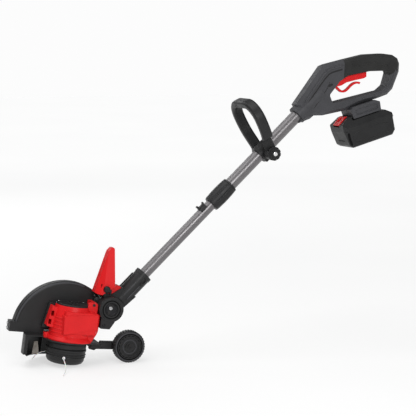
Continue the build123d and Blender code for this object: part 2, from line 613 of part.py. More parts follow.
# ---- pedal above the tilt barrel, with its pin and the plunger under it
PEDAL_HALF = 22.8
PEDAL_HOLLOW = PEDAL_EAR + 0.4
PEDAL_NOSE = 11.0               # half width of the narrow front edge
PEDAL_SIDE = [(43.5, 164), (47, 162), (58, 160.5), (83.6, 181), (76.5, 262), (74, 264), (69, 263),
              (64, 256)]
with BuildPart() as foot_pedal:
    add(plate(HEAD, PEDAL_SIDE, PEDAL_HALF, -PEDAL_HALF))
    # front ribs, then the flanks swept back from the narrow front edge
    for rib in (-6, 0, 6):
        add(plate(HEAD, [(50, 172), (53, 172), (64, 240), (59, 236), (44.4, 172)], rib + 1.2, rib - 1.2))
    with BuildSketch(top_down(HEAD, 155)):
        for side in (-1, 1):
            with BuildLine():
                Polyline((34, side * PEDAL_NOSE), (42, side * PEDAL_NOSE), (52, side * (PEDAL_HALF + 0.2)),
                         (52, side * 40), (34, side * 40), close=True)
            make_face()
    extrude(amount=130, dir=HEAD.x_dir * 20.5 + HEAD.y_dir * 93, mode=Mode.SUBTRACT)
    # sides taper to a narrow tip
    with BuildSketch(end_on(HEAD, 20)):
        for side in (-1, 1):
            with BuildLine():
                Polyline((side * 23.3, 190), (side * 23.3, 270), (side * 7, 270), close=True)
            make_face()
    extrude(amount=90, mode=Mode.SUBTRACT)
    # hollow, open towards the neck and below
    add(block(HEAD, 54, 73, 150, 184, PEDAL_HOLLOW, -PEDAL_HOLLOW), mode=Mode.SUBTRACT)
    with BuildSketch(end_on(HEAD, 62)):
        Polygon((-PEDAL_HOLLOW, 155), (PEDAL_HOLLOW, 155), (PEDAL_HOLLOW, 188), (9, 238), (-9, 238),
                (-PEDAL_HOLLOW, 188), align=None)
    extrude(amount=40, mode=Mode.SUBTRACT)
    add(pin_across(HEAD, PEDAL_U, PEDAL_W, PEDAL_PIN_R + RUN, 40, -40), mode=Mode.SUBTRACT)
save(foot_pedal.part, "foot_pedal")

with BuildPart() as pedal_pin:
    add(pin_across(HEAD, PEDAL_U, PEDAL_W, PEDAL_PIN_R, PEDAL_HALF + 1, -PEDAL_HALF - 0.5))
    add(pin_across(HEAD, PEDAL_U, PEDAL_W, 7.4, PEDAL_HALF + 5, PEDAL_HALF + GAP))
    fillet(pedal_pin.edges().filter_by(GeomType.CIRCLE).sort_by(Axis.Y)[0], 1.6)
save(pedal_pin.part, "pedal_pin")

with BuildPart() as lock_plunger:
    add(post(HEAD, PLUNGER_U, PLUNGER_Y, 163, 173, 2.5))
    fillet(lock_plunger.edges().filter_by(GeomType.CIRCLE), 1)
    add(post(HEAD, PLUNGER_U, PLUNGER_Y, 148, 163.5, PLUNGER_R))
save(lock_plunger.part, "lock_plunger")

# ================================================================ spool head
with BuildPart() as spool_housing:
    add(turned([(9, 42), (9, 48), (39.5, 48), (39.5, 39), (41.3, 39), (42.7, 40.6), (42.7, 49.5),
                (41, 52.4), (SHAFT_R, 52.4),
                (SHAFT_R, 42)]))
save(spool_housing.part, "spool_housing")

KNOB_R = 14.0
BUMP = 4.0
EYELET_ANGLES = (-109.0, 71.0)
EYELET_W = 21.6
with BuildPart() as spool_cap:
    add(turned([
        (KNOB_R + 0.6, 5.5), (33, 5.5), (38, 8), (41, 13), (42, 20), (42.6, 33), (43.8, 34),
        (43.8, 37.4), (42.2, 38.8),
        (40, 38.8), (40, 33), (39.5, 20), (38.5, 14), (36, 10.5), (32, 8.3), (KNOB_R + 0.6, 8.3),
    ]))
    for angle in EYELET_ANGLES:
        with BuildSketch(flank(angle, 36, EYELET_W)):
            Circle(2.35)
        extrude(amount=10, mode=Mode.SUBTRACT)
    with BuildSketch(top_down(HEAD, 8)):
        with PolarLocations(43.9, 16):
            Circle(1.6)
    extrude(amount=24, mode=Mode.SUBTRACT)
save(spool_cap.part, "spool_cap")

with BuildPart() as line_eyelets:
    for angle in EYELET_ANGLES:
        with BuildSketch(flank(angle, 37.5, EYELET_W)):
            Circle(2.3)
            Circle(1.25, mode=Mode.SUBTRACT)
        extrude(amount=5.5)
        with BuildSketch(flank(angle, 43, EYELET_W)):
            Circle(3.2)
            Circle(1.25, mode=Mode.SUBTRACT)
        extrude(amount=1.5)
save(line_eyelets.part, "line_eyelets")

# ---- reel with its bump knob, pushed up by a tap on the ground
with BuildPart() as line_spool:
    add(turned([(0, 2.3), (KNOB_R - 2, 2.3), (KNOB_R, 4), (KNOB_R, 13), (34, 13), (34, 15), (30, 15.2),
                (30, 29),
                (34, 29.2), (34, 31), (12, 31), (12, 15), (0, 15)]))
save(line_spool.part, "line_spool")

# ================================================================ rear handle
HANDLE_OUTLINE = [
    (541, 552), (606, 638), (617, 642), (664, 653), (715, 664), (757, 666), (783, 663), (797, 655),
    (802, 643),
    (801, 624), (785, 585), (771, 572), (743, 563), (700, 553), (662, 537), (607, 527), (585, 527),
    (576, 520),
    (549, 511), (556, 530),
]
OPENING = [
    (622, 573), (630, 554), (755, 581), (770, 593), (780, 627), (723, 626), (669, 617), (648, 604),
]
SLEEVE_R = 21.0
SLEEVE_START, SLEEVE_END = 252.0, 330.0
EDGE_ROUND = 9.0
GRIP_FROM = 661.0
RUBBER = 2.4
TRIGGER_X, TRIGGER_Z = 631.0, 600.0
TRIGGER_HALF = 8.0
LEVER_HALF = 4.0


def handle_solid(inset=0.0):
    """Rear handle without its hollows; inset shrinks it all round for the rubber's bed."""
    half = HANDLE_HALF - inset
    with BuildPart() as made:
        with BuildSketch(SIDE.offset(-half)) as face:
            with BuildLine():
                Polyline(*HANDLE_OUTLINE, close=True)
            make_face()
            if inset:
                offset(amount=-inset)
        extrude(amount=2 * half)
        chamfer(made.faces().filter_by(Axis.Y).edges(), EDGE_ROUND - inset - 2)
        with BuildSketch(SIDE.offset(-half - 1)) as hole:
            with BuildLine():
                Polyline(*OPENING, close=True)
            make_face()
            fillet(hole.vertices(), 6)
            if inset:
                offset(amount=inset)
        extrude(amount=2 * half + 2, mode=Mode.SUBTRACT)
        add(tube(SHAFT, SLEEVE_START, SLEEVE_END, SLEEVE_R - inset, 0))
    return made.part


def zone(frame, outline, half):
    """Block over a side-view outline, reaching the same way to both sides."""
    return plate(frame, outline, half, -half)


GRIP_ZONE = zone(SIDE, [(GRIP_FROM, 700), (GRIP_FROM - 4, 607), (700, 609), (778, 618), (815, 640),
                        (815, 700)], 40)
TRIGGER_WELL = zone(SIDE, [(616, 589), (660, 589), (664, 606), (724, 614), (724, 642), (660, 632),
                           (616, 614)],
                    TRIGGER_HALF + 0.6)
SWITCH_WELL = block(SIDE, 626, 658, 614, 640, 9, -9)
DUCT = zone(SIDE, [(590, 562), (618, 575), (618, 618), (604, 612), (586, 580)], 9)
HALF_NEAR = block(SIDE, 500, 850, 480, 700, 50, 0)
HALF_FAR = block(SIDE, 500, 850, 480, 700, 0, -50)
SHELL_SCREWS = ((590, 540), (614, 630), (652, 547.5), (784, 606), (708, 563))

WALL = 3.0
BOSS_R = 5.5
handle_outer = handle_solid()
grip_bed = handle_solid(RUBBER)

# what the two shells leave hollow: all but the walls, the screw bosses and the tube's socket
with BuildPart() as handle_hollow:
    add(handle_solid(WALL))
    add(GRIP_ZONE, mode=Mode.SUBTRACT)
    add(tube(SHAFT, SLEEVE_START - 32, UPPER_END + WALL, UPPER_R + WALL, 0), mode=Mode.SUBTRACT)
    add(tube(SHAFT, SLEEVE_START - 32, SLEEVE_END, SLEEVE_R, 0), mode=Mode.SUBTRACT)
    for x, z in SHELL_SCREWS + ((TRIGGER_X, TRIGGER_Z),):
        add(pin_across(SIDE, x, z, BOSS_R, 40, -40), mode=Mode.SUBTRACT)

with BuildPart() as rear_body:
    add(handle_outer)
    add(handle_hollow.part, mode=Mode.SUBTRACT)
    add(GRIP_ZONE, mode=Mode.SUBTRACT)
    add(grip_bed & GRIP_ZONE)
    add(tube(SHAFT, SLEEVE_START - 30, UPPER_END, UPPER_R, 0), mode=Mode.SUBTRACT)
    for well in (TRIGGER_WELL, SWITCH_WELL, DUCT):
        add(well, mode=Mode.SUBTRACT)
    add(pin_across(SIDE, TRIGGER_X, TRIGGER_Z, 2.5, 14, -14), mode=Mode.SUBTRACT)
    for x, z in SHELL_SCREWS:
        add(pin_across(SIDE, x, z, 1.6, 12, -30), mode=Mode.SUBTRACT)
        add(pin_across(SIDE, x, z, 3.2, -12, -30), mode=Mode.SUBTRACT)

with BuildPart() as rear_shell_near:
    add(rear_body.part)
    add(HALF_NEAR, mode=Mode.INTERSECT)
save(rear_shell_near.part, "rear_shell_near")

with BuildPart() as rear_shell_far:
    add(rear_body.part)
    add(HALF_FAR, mode=Mode.INTERSECT)
save(rear_shell_far.part, "rear_shell_far")

with BuildPart() as grip_overmould:
    add(handle_outer)
    add(GRIP_ZONE, mode=Mode.INTERSECT)
    add(grip_bed, mode=Mode.SUBTRACT)
    add(TRIGGER_WELL, mode=Mode.SUBTRACT)
save(grip_overmould.part, "grip_overmould")

with BuildPart() as rear_screws:
    for x, z in SHELL_SCREWS:
        add(pin_across(SIDE, x, z, 1.6, 8, -12))
        add(pin_across(SIDE, x, z, 3, -12, -14))
save(rear_screws.part, "rear_screws")

with BuildPart() as trigger_pin:
    add(pin_across(SIDE, TRIGGER_X, TRIGGER_Z, 2.5, 13.5, -13.5))
save(trigger_pin.part, "trigger_pin")

with BuildPart() as switch_block:
    add(block(SIDE, 627, 657, 622, 639, 8.5, -8.5))
save(switch_block.part, "switch_block")

# ---- trigger and the curled lock lever under it, both on one pin
with BuildPart() as trigger:
    add(plate(SIDE, [(628, 603), (640, 606), (661, 612), (680, 617), (716, 623.5), (716, 629),
                     (720, 627), (720, 613),
                     (713, 609.5), (693, 606), (669, 600.5), (657, 594), (645, 591.5), (630, 594)],
              TRIGGER_HALF, -TRIGGER_HALF))
    add(pin_across(SIDE, TRIGGER_X, TRIGGER_Z, 5.5, TRIGGER_HALF, -TRIGGER_HALF))
    add(block(SIDE, 620, 662, 586, 603.5, LEVER_HALF + GAP, -LEVER_HALF - GAP), mode=Mode.SUBTRACT)
    add(pin_across(SIDE, TRIGGER_X, TRIGGER_Z, 8, LEVER_HALF + GAP, -LEVER_HALF - GAP), mode=Mode.SUBTRACT)
    add(pin_across(SIDE, TRIGGER_X, TRIGGER_Z, 2.5 + RUN, 20, -20), mode=Mode.SUBTRACT)
save(trigger.part, "trigger")

with BuildPart() as lock_lever:
    with BuildSketch(SIDE.offset(-LEVER_HALF)):
        with BuildLine() as curl:
            Spline((632, 598.5), (642, 593.5), (651, 586), (659, 580.5), (668, 581), (677, 587.5),
                   (686, 595.5),
                   (695, 599.5), (706, 598.5))
        trace(line_width=4.6)
    extrude(amount=2 * LEVER_HALF)
    add(pin_across(SIDE, TRIGGER_X, TRIGGER_Z, 5.5, LEVER_HALF, -LEVER_HALF))
    add(pin_across(SIDE, TRIGGER_X, TRIGGER_Z, 2.5 + RUN, 20, -20), mode=Mode.SUBTRACT)
save(lock_lever.part, "lock_lever")

# ================================================================ battery and its dock
DOCK_HALF = 27.0
DOCK_BOTTOM = 33.0              # underside of the dock, above the battery's rails' foot
RAIL_HALF = 23.0
NECK_HALF = 18.0
with BuildPart() as battery_dock:
    add(plate(PACK, [(-33, DOCK_BOTTOM), (39, DOCK_BOTTOM), (41, 53), (30, 59.5), (-28, 59.5), (-35, 55)],
              DOCK_HALF, -DOCK_HALF, 1.5))
    add(block(PACK, -50, 33, 26, 36.2, NECK_HALF + 0.4, -NECK_HALF - 0.4), mode=Mode.SUBTRACT)
    add(block(PACK, -50, 33, 36, 40.4, RAIL_HALF + 0.4, -RAIL_HALF - 0.4), mode=Mode.SUBTRACT)
    for side in (-1, 1):
        middle = side * (DOCK_HALF - 0.5)
        add(block(PACK, -24, 32, 39, 51, middle + 0.5, middle - 0.5), mode=Mode.SUBTRACT)
    add(block(PACK, -30, -26, 39, 45, 4, -4), mode=Mode.SUBTRACT)
    add(handle_outer, mode=Mode.SUBTRACT)
save(battery_dock.part, "battery_dock")

with BuildPart() as dock_terminals:
    for place in (-15, -5, 5, 15):
        add(block(PACK, 10, 28, 37.8, 40.4, place + 0.5, place - 0.5))
save(dock_terminals.part, "dock_terminals")

PACK_HALF = 37.0
LATCH_HALF = 14.0
CASE_SIDE = [(-62, -22), (-55, -28.5), (49, -28.5), (58, -19), (60, 12), (-68, 12)]
LID_SIDE = [(-68, 12), (60, 12), (59.5, 22), (48, 31), (-37.5, 31), (-38.5, 38), (-42, 40), (-48, 39),
            (-68, 27)]


def corner_cut(side):
    """Wedge that bevels the battery's upright corner at the pulling end."""
    with BuildPart() as made:
        with BuildSketch(top_down(PACK, -60)):
            Polygon((-80, side * 31), (-72, side * 31), (-59, side * 38), (-59, side * 50),
                    (-80, side * 50), align=None)
        extrude(amount=120)
    return made.part


with BuildPart() as battery_case:
    add(plate(PACK, CASE_SIDE, PACK_HALF, -PACK_HALF))
    chamfer(battery_case.faces().filter_by(Axis.Y).edges(), 3)
    add(block(PACK, -61, 57, 8.9, 13, PACK_HALF, -PACK_HALF))
    for side in (-1, 1):
        add(corner_cut(side), mode=Mode.SUBTRACT)
    add(plate(PACK, [(-54, -19), (-48, -24.5), (47, -24.5), (55, -16), (57, 14), (-59, 14)], 34, -34),
        mode=Mode.SUBTRACT)
    add(block(PACK, -70, 70, 12, 20, 50, -50), mode=Mode.SUBTRACT)
    for along in (-44, 42):
        for side in (-28, 28):
            add(post(PACK, along, side, -29, -24, 3.1), mode=Mode.SUBTRACT)
save(battery_case.part, "battery_case")

with BuildPart() as battery_lid:
    add(plate(PACK, LID_SIDE, PACK_HALF, -PACK_HALF))
    with BuildSketch(end_on(PACK, -75)):
        for side in (-1, 1):
            with BuildLine():
                Polyline((side * 38, 17), (side * 38, 40), (side * 24, 40), (side * 29, 31), close=True)
            make_face()
    extrude(amount=140, mode=Mode.SUBTRACT)
    for side in (-1, 1):
        add(corner_cut(side), mode=Mode.SUBTRACT)
    add(plate(PACK, [(-54, 11), (54, 11), (54, 20), (46, 28), (-38, 28), (-54, 19)], 27, -27),
        mode=Mode.SUBTRACT)
    add(block(PACK, -54, 54, 11, 15, 33, -33), mode=Mode.SUBTRACT)
    add(block(PACK, -38, 32, 31, 36.4, NECK_HALF, -NECK_HALF))
    add(block(PACK, -38, 32, 36.4, 39.6, RAIL_HALF, -RAIL_HALF))
    for place in (-15, -5, 5, 15):
        add(block(PACK, 9, 40, 37, 43, place + 0.8, place - 0.8), mode=Mode.SUBTRACT)
    # pocket for the latch at the pulling end
    add(plate(PACK, [(-80, 22.8), (-60, 22.8), (-43.2, 34.4), (-41.5, 34.4), (-41.5, 55),
                     (-80, 55)], LATCH_HALF + 0.6,
              -LATCH_HALF - 0.6), mode=Mode.SUBTRACT)
save(battery_lid.part, "battery_lid")

CELL_R, CELL_HALF = 9.1, 32.5
with BuildPart() as battery_cells:
    for row in (-15.3, 3.3):
        for column in range(5):
            add(pin_across(PACK, (column - 2) * 18.6 + 2, row, CELL_R, CELL_HALF, -CELL_HALF))
save(battery_cells.part, "battery_cells")

with BuildPart() as battery_board:
    add(block(PACK, -34, 46, 20, 21.6, 24, -24))
save(battery_board.part, "battery_board")

with BuildPart() as battery_screws:
    for along in (-44, 42):
        for side in (-28, 28):
            add(post(PACK, along, side, -28.2, -24.7, 3))
save(battery_screws.part, "battery_screws")

with BuildPart() as battery_latch:
    add(plate(PACK, [(-67.6, 26.4), (-68, 28.4), (-48.5, 41.4), (-43.5, 41.4), (-43.5, 38), (-60, 26.4)],
              LATCH_HALF, -LATCH_HALF))
    add(plate(PACK, [(-60, 31.5), (-51, 37.5), (-48, 46), (-66, 46)], 8, -8), mode=Mode.SUBTRACT)
save(battery_latch.part, "battery_latch")

# ================================================================ front handle
BRACKET_HALF = 31.0
BOLT_R = 3.0
CLAMP_SCREW_H = -19.4
with BuildPart() as front_bracket:
    add(tube(SHAFT, LOOP_S - 17, LOOP_S + 15, 19.5, UPPER_R))
    add(tube(SHAFT, LOOP_S - 17, LOOP_S - 14.5, 20.4, UPPER_R))
    for side in (-1, 1):
        add(bar_beside(SHAFT, LOOP_S, LOOP_H, 13, side, 17, BRACKET_HALF))
    add(block(SHAFT, LOOP_S - 14, LOOP_S + 12, -23, -16, 9, -9))
    add(block(SHAFT, LOOP_S - 18, LOOP_S + 16, -27, -13, 0.8, -0.8), mode=Mode.SUBTRACT)
    add(tube(SHAFT, LOOP_S - 20, LOOP_S + 20, UPPER_R, 0), mode=Mode.SUBTRACT)
    for side in (-1, 1):
        add(bar_beside(SHAFT, LOOP_S, LOOP_H, BOLT_R + 0.2, side, 16, BRACKET_HALF + 1), mode=Mode.SUBTRACT)
    add(pin_across(SHAFT, LOOP_S - 1, CLAMP_SCREW_H, 1.55, 14, -14), mode=Mode.SUBTRACT)
save(front_bracket.part, "front_bracket")

with BuildPart() as bracket_screw:
    add(pin_across(SHAFT, LOOP_S - 1, CLAMP_SCREW_H, 1.5, 10, -9))
    add(pin_across(SHAFT, LOOP_S - 1, CLAMP_SCREW_H - 0.6, 2.6, 11, 9.1))
save(bracket_screw.part, "bracket_screw")

# bail: two legs on the bracket's bosses, bowed out and joined by the top bar
LOOP_TOP = 126.0
LOOP_WIDE, LOOP_THICK, LOOP_ROUND = 24.0, 17.0, 6.0
LOOP_FOOT = BRACKET_HALF + GAP + 5.5
with BuildPart() as front_loop:
    with BuildSketch(LOOP.offset(-LOOP_WIDE / 2)):
        with BuildLine():
            Spline((LOOP_FOOT, 4), (54, 44), (61, 84), tangents=[(0.2, 1), (0, 1)])
            ThreePointArc((61, 84), (51, 111), (24, LOOP_TOP - 3))
            Line((24, LOOP_TOP - 3), (-24, LOOP_TOP - 3))
            ThreePointArc((-24, LOOP_TOP - 3), (-51, 111), (-61, 84))
            Spline((-61, 84), (-54, 44), (-LOOP_FOOT, 4), tangents=[(0, -1), (0.2, -1)])
        trace(line_width=LOOP_THICK)
    extrude(amount=LOOP_WIDE)
    fillet(front_loop.faces().filter_by(LOOP).edges(), LOOP_ROUND)
    for side in (-1, 1):
        add(bar_beside(SHAFT, LOOP_S, LOOP_H, 15, side, BRACKET_HALF + GAP, BRACKET_HALF + 11))
    add(pin_across(SHAFT, LOOP_S, LOOP_H, BOLT_R + 0.2, 60, -60), mode=Mode.SUBTRACT)
    add(pin_across(SHAFT, LOOP_S, LOOP_H, 40, BRACKET_HALF + GAP, -BRACKET_HALF - GAP), mode=Mode.SUBTRACT)
    add(pin_across(SHAFT, LOOP_S, LOOP_H, 40, 70, BRACKET_HALF + 11), mode=Mode.SUBTRACT)
    with BuildSketch(SHAFT.offset(-BRACKET_HALF - 11)):
        with Locations((LOOP_S, LOOP_H)):
            RegularPolygon(6, 6)
    extrude(amount=6, mode=Mode.SUBTRACT)
save(front_loop.part, "front_loop")

KNOB_FACE = BRACKET_HALF + 11 + GAP
with BuildPart() as clamp_knob:
    with BuildSketch(SHAFT.offset(KNOB_FACE)):
        with Locations((LOOP_S, LOOP_H)):
            Circle(15.6)
            with PolarLocations(17, 10):
                Circle(2.4, mode=Mode.SUBTRACT)
    extrude(amount=9)
    add(pin_across(SHAFT, LOOP_S, LOOP_H, 11.5, KNOB_FACE + 12, KNOB_FACE))
    add(pin_across(SHAFT, LOOP_S, LOOP_H, 8.2, KNOB_FACE + 15, KNOB_FACE))
    add(pin_across(SHAFT, LOOP_S, LOOP_H, BOLT_R, 80, 0), mode=Mode.SUBTRACT)
    add(pin_across(SHAFT, LOOP_S, LOOP_H, 5.2, KNOB_FACE + 16, KNOB_FACE + 12.5), mode=Mode.SUBTRACT)
save(clamp_knob.part, "clamp_knob")

with BuildPart() as clamp_bolt:
    add(pin_across(SHAFT, LOOP_S, LOOP_H, BOLT_R, KNOB_FACE + 13, UPPER_R + 2))
    add(pin_across(SHAFT, LOOP_S, LOOP_H, 5, KNOB_FACE + 16, KNOB_FACE + 12.5))
    fillet(clamp_bolt.edges().filter_by(GeomType.CIRCLE).sort_by(Axis.Y)[0], 1.2)
save(clamp_bolt.part, "clamp_bolt")

with BuildPart() as clamp_nut:
    with BuildSketch(SHAFT.offset(-BRACKET_HALF - 10.6)):
        with Locations((LOOP_S, LOOP_H)):
            RegularPolygon(5.8, 6)
    extrude(amount=5)
    add(pin_across(SHAFT, LOOP_S, LOOP_H, BOLT_R, -UPPER_R - 2, -BRACKET_HALF - 10.6))
save(clamp_nut.part, "clamp_nut")

# ================================================================ trimmer line
LINE_R = 1.0


def line_end(points, label):
    """Tube of straight runs joined by arcs as large as the two runs beside each corner allow."""
    radii = []
    for before, corner, after in zip(points, points[1:], points[2:]):
        into, out_of = Vector(*corner) - Vector(*before), Vector(*after) - Vector(*corner)
        half_turn = math.radians(into.get_angle(out_of)) / 2
        radii.append(0.45 * min(into.length, out_of.length) / math.tan(half_turn))
    shifted = [(x - GRIP_X, y, z - GRIP_Z) for x, y, z in points]
    with BuildPart() as made:
        with BuildLine() as path:
            FilletPolyline(*shifted, radius=radii)
        route = path.wires()[0]
        with BuildSketch(Plane(origin=route @ 0, z_dir=route % 0)):
            Circle(LINE_R)
        sweep(path=route)
    length = route.length
    print(label, "length", round(length, 1), "radii", [round(r, 1) for r in radii],
          "volume ratio", round(made.part.volume / (math.pi * LINE_R**2 * length), 4))
    save(made.part, label)


LINE_NEAR = [(-11.2, -42.2, 23.6), (-13.4, -48.6, 22.9), (-13.6, -55.4, 19.6), (-13.4, -65, 14),
             (-15.5, -75, 9),
             (-19, -85, 5.2), (-24.2, -95, 2.8), (-29.5, -104.5, 1.4)]
LINE_FAR = [(17.5, 42.2, 19.2), (18.9, 49.2, 19), (15.6, 56, 18.8), (8.6, 60.4, 18.6), (-2, 62, 18.4),
            (-14, 61, 18.4), (-26, 58, 18.8), (-37.5, 53.6, 18.8), (-47, 48.5, 16.8), (-55, 43.5, 12.6),
            (-61.5, 38.5, 7)]
line_end(LINE_NEAR, "line_end_near")
line_end(LINE_FAR, "line_end_far")
print(len(nodes), "nodes")
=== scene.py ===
import json
import math

import bmesh
import bpy
from mathutils import Matrix, Vector


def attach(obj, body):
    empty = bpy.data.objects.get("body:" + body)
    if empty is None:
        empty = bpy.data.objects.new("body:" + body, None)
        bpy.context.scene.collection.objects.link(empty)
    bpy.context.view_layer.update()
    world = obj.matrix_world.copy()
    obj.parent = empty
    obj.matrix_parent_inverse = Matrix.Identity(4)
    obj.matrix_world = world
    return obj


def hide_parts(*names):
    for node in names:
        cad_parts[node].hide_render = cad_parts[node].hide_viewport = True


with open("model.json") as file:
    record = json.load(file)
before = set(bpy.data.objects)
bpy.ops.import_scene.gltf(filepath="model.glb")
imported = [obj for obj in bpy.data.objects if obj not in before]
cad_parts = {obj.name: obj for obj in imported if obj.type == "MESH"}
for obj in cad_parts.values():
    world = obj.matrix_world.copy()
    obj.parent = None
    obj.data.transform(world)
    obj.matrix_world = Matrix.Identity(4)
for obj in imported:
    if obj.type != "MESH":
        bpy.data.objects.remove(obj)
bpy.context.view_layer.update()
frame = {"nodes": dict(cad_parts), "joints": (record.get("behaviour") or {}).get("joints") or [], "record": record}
NODES = frame["nodes"]
JOINTS = {joint["name"]: joint for joint in frame["joints"]}
MOUNTS = {mount["name"]: mount for mount in frame["record"]["mounts"]}
MM = 0.001
NEAR = Vector((0, -1, 0))
scene = bpy.context.scene

# ---------------------------------------------------------------- frames
# Every local frame has x and y in the trimmer's middle plane and z towards the near side.
# Details are given in millimetres in these frames.


def local_frame(origin, along):
    """Frame at a point with its x along a given way."""
    x = Vector(along).normalized()
    made = Matrix((x, NEAR.cross(x), NEAR)).transposed().to_4x4()
    made.translation = Vector(origin)
    return made


SIDE = local_frame(MOUNTS["rear_grip"]["pos_m"], (1, 0, 0))
SHAFT = local_frame(JOINTS["collar_turn"]["pos_m"], JOINTS["collar_turn"]["axis"])
HEAD = local_frame(JOINTS["spool_spin"]["pos_m"], Vector(JOINTS["spool_spin"]["axis"]).cross(NEAR))
PACK_BASE = 28.5                   # from the battery's underside up to its frame
UNDERSIDE = MOUNTS["battery_base"]
PACK = local_frame(
    Vector(UNDERSIDE["pos_m"]) - Vector(UNDERSIDE["axis"]) * PACK_BASE * MM,
    -Vector(JOINTS["battery_slide"]["axis"]),
)


def at(place, x, y, z=0.0):
    """Point in the shared frame, in metres, of a local point in millimetres."""
    return place @ Vector((x * MM, y * MM, z * MM))


# ---------------------------------------------------------------- camera, floor and light
TARGET = Vector((-0.390, 0, -0.317))
CAMERA_AZIMUTH, CAMERA_ELEVATION, CAMERA_DISTANCE = -21.0, 7.0, 3.0
LENS, SENSOR = 116.8, 36.0
FLOOR_Z = -0.643
FLOOR_REACH = 14.0                 # from the middle to each side
LIGHT_BOXES = {                    # place, size and power
    "left_box": ((-2.6, -2.2, 1.7), (1.6, 1.6), 6),
    "front_box": ((-0.63, -3.1, 0.81), (1.5, 0.9), 46),
    "back_box": ((-1.6, 1.9, 1.9), (1.6, 0.9), 11),
    "rim_box": ((-0.74, 2.94, 0.8), (2.4, 0.5), 9),
}
SUN_WAY = Vector((0.3, 0.08, -1.0))


def make_camera():
    azimuth, elevation = math.radians(CAMERA_AZIMUTH), math.radians(CAMERA_ELEVATION)
    back = Vector((
        math.sin(azimuth) * math.cos(elevation),
        -math.cos(azimuth) * math.cos(elevation),
        math.sin(elevation),
    ))
    data = bpy.data.cameras.new("camera")
    data.lens, data.sensor_width = LENS, SENSOR
    data.clip_start, data.clip_end = 0.05, 100
    camera = bpy.data.objects.new("camera", data)
    scene.collection.objects.link(camera)
    camera.location = TARGET + back * CAMERA_DISTANCE
    camera.rotation_euler = (-back).to_track_quat("-Z", "Y").to_euler()
    scene.camera = camera


def area_light(name, place, size, power):
    """Rectangular studio light that faces the trimmer."""
    data = bpy.data.lights.new(name, "AREA")
    data.shape = "RECTANGLE"
    data.size, data.size_y = size
    data.energy = power
    light = bpy.data.objects.new(name, data)
    scene.collection.objects.link(light)
    light.location = place
    light.rotation_euler = (TARGET - Vector(place)).to_track_quat("-Z", "Y").to_euler()


def make_studio():
    scene.view_settings.view_transform = "Standard"
    world = bpy.data.worlds.new("studio")
    scene.world = world
    world.use_nodes = True
    tree = world.node_tree
    tree.nodes.clear()
    out = tree.nodes.new("ShaderNodeOutputWorld")
    mix = tree.nodes.new("ShaderNodeMixShader")
    path = tree.nodes.new("ShaderNodeLightPath")
    backdrop = tree.nodes.new("ShaderNodeBackground")
    fill = tree.nodes.new("ShaderNodeBackground")
    backdrop.inputs["Color"].default_value = (1, 1, 1, 1)
    backdrop.inputs["Strength"].default_value = 0.975
    fill.inputs["Color"].default_value = (0.96, 0.98, 1, 1)
    fill.inputs["Strength"].default_value = 0.2
    tree.links.new(path.outputs["Is Camera Ray"], mix.inputs["Fac"])
    tree.links.new(fill.outputs[0], mix.inputs[1])
    tree.links.new(backdrop.outputs[0], mix.inputs[2])
    tree.links.new(mix.outputs[0], out.inputs["Surface"])

    sun = bpy.data.lights.new("key", "SUN")
    sun.energy, sun.angle = 1.5, math.radians(50)
    sun.specular_factor = 0.25
    key = bpy.data.objects.new("key", sun)
    scene.collection.objects.link(key)
    key.rotation_euler = SUN_WAY.to_track_quat("-Z", "Y").to_euler()
    for name, (place, size, power) in LIGHT_BOXES.items():
        area_light(name, place, size, power)


def make_floor():
    """Pale paper that glows a little, and a little more far off."""
    mesh = bpy.data.meshes.new("floor")
    corners = [(x * FLOOR_REACH, y * FLOOR_REACH, FLOOR_Z) for x, y in ((-1, -1), (1, -1), (1, 1), (-1, 1))]
    mesh.from_pydata(corners, [], [(0, 1, 2, 3)])
    floor = bpy.data.objects.new("floor", mesh)
    scene.collection.objects.link(floor)
    paper = Shader("studio_floor", rough=0.9)
    tone = paper.noise(scale=1.4, detail=2)
    shade = paper.mix(tone, (0.93, 0.93, 0.93), (0.96, 0.96, 0.955))
    paper.set("Base Color", paper.mix(tone, (0.39, 0.39, 0.39), (0.41, 0.41, 0.408)))
    paper.set("Emission Color", shade)
    away = paper.node("VectorMath", operation="LENGTH")
    paper.feed(away, 0, paper.coords)
    near, far = 1.2, 5.0
    paper.set("Emission Strength", paper.span(away.outputs["Value"], near, far, 0.625, 0.745))
    floor.data.materials.append(paper.material)


# ---------------------------------------------------------------- materials


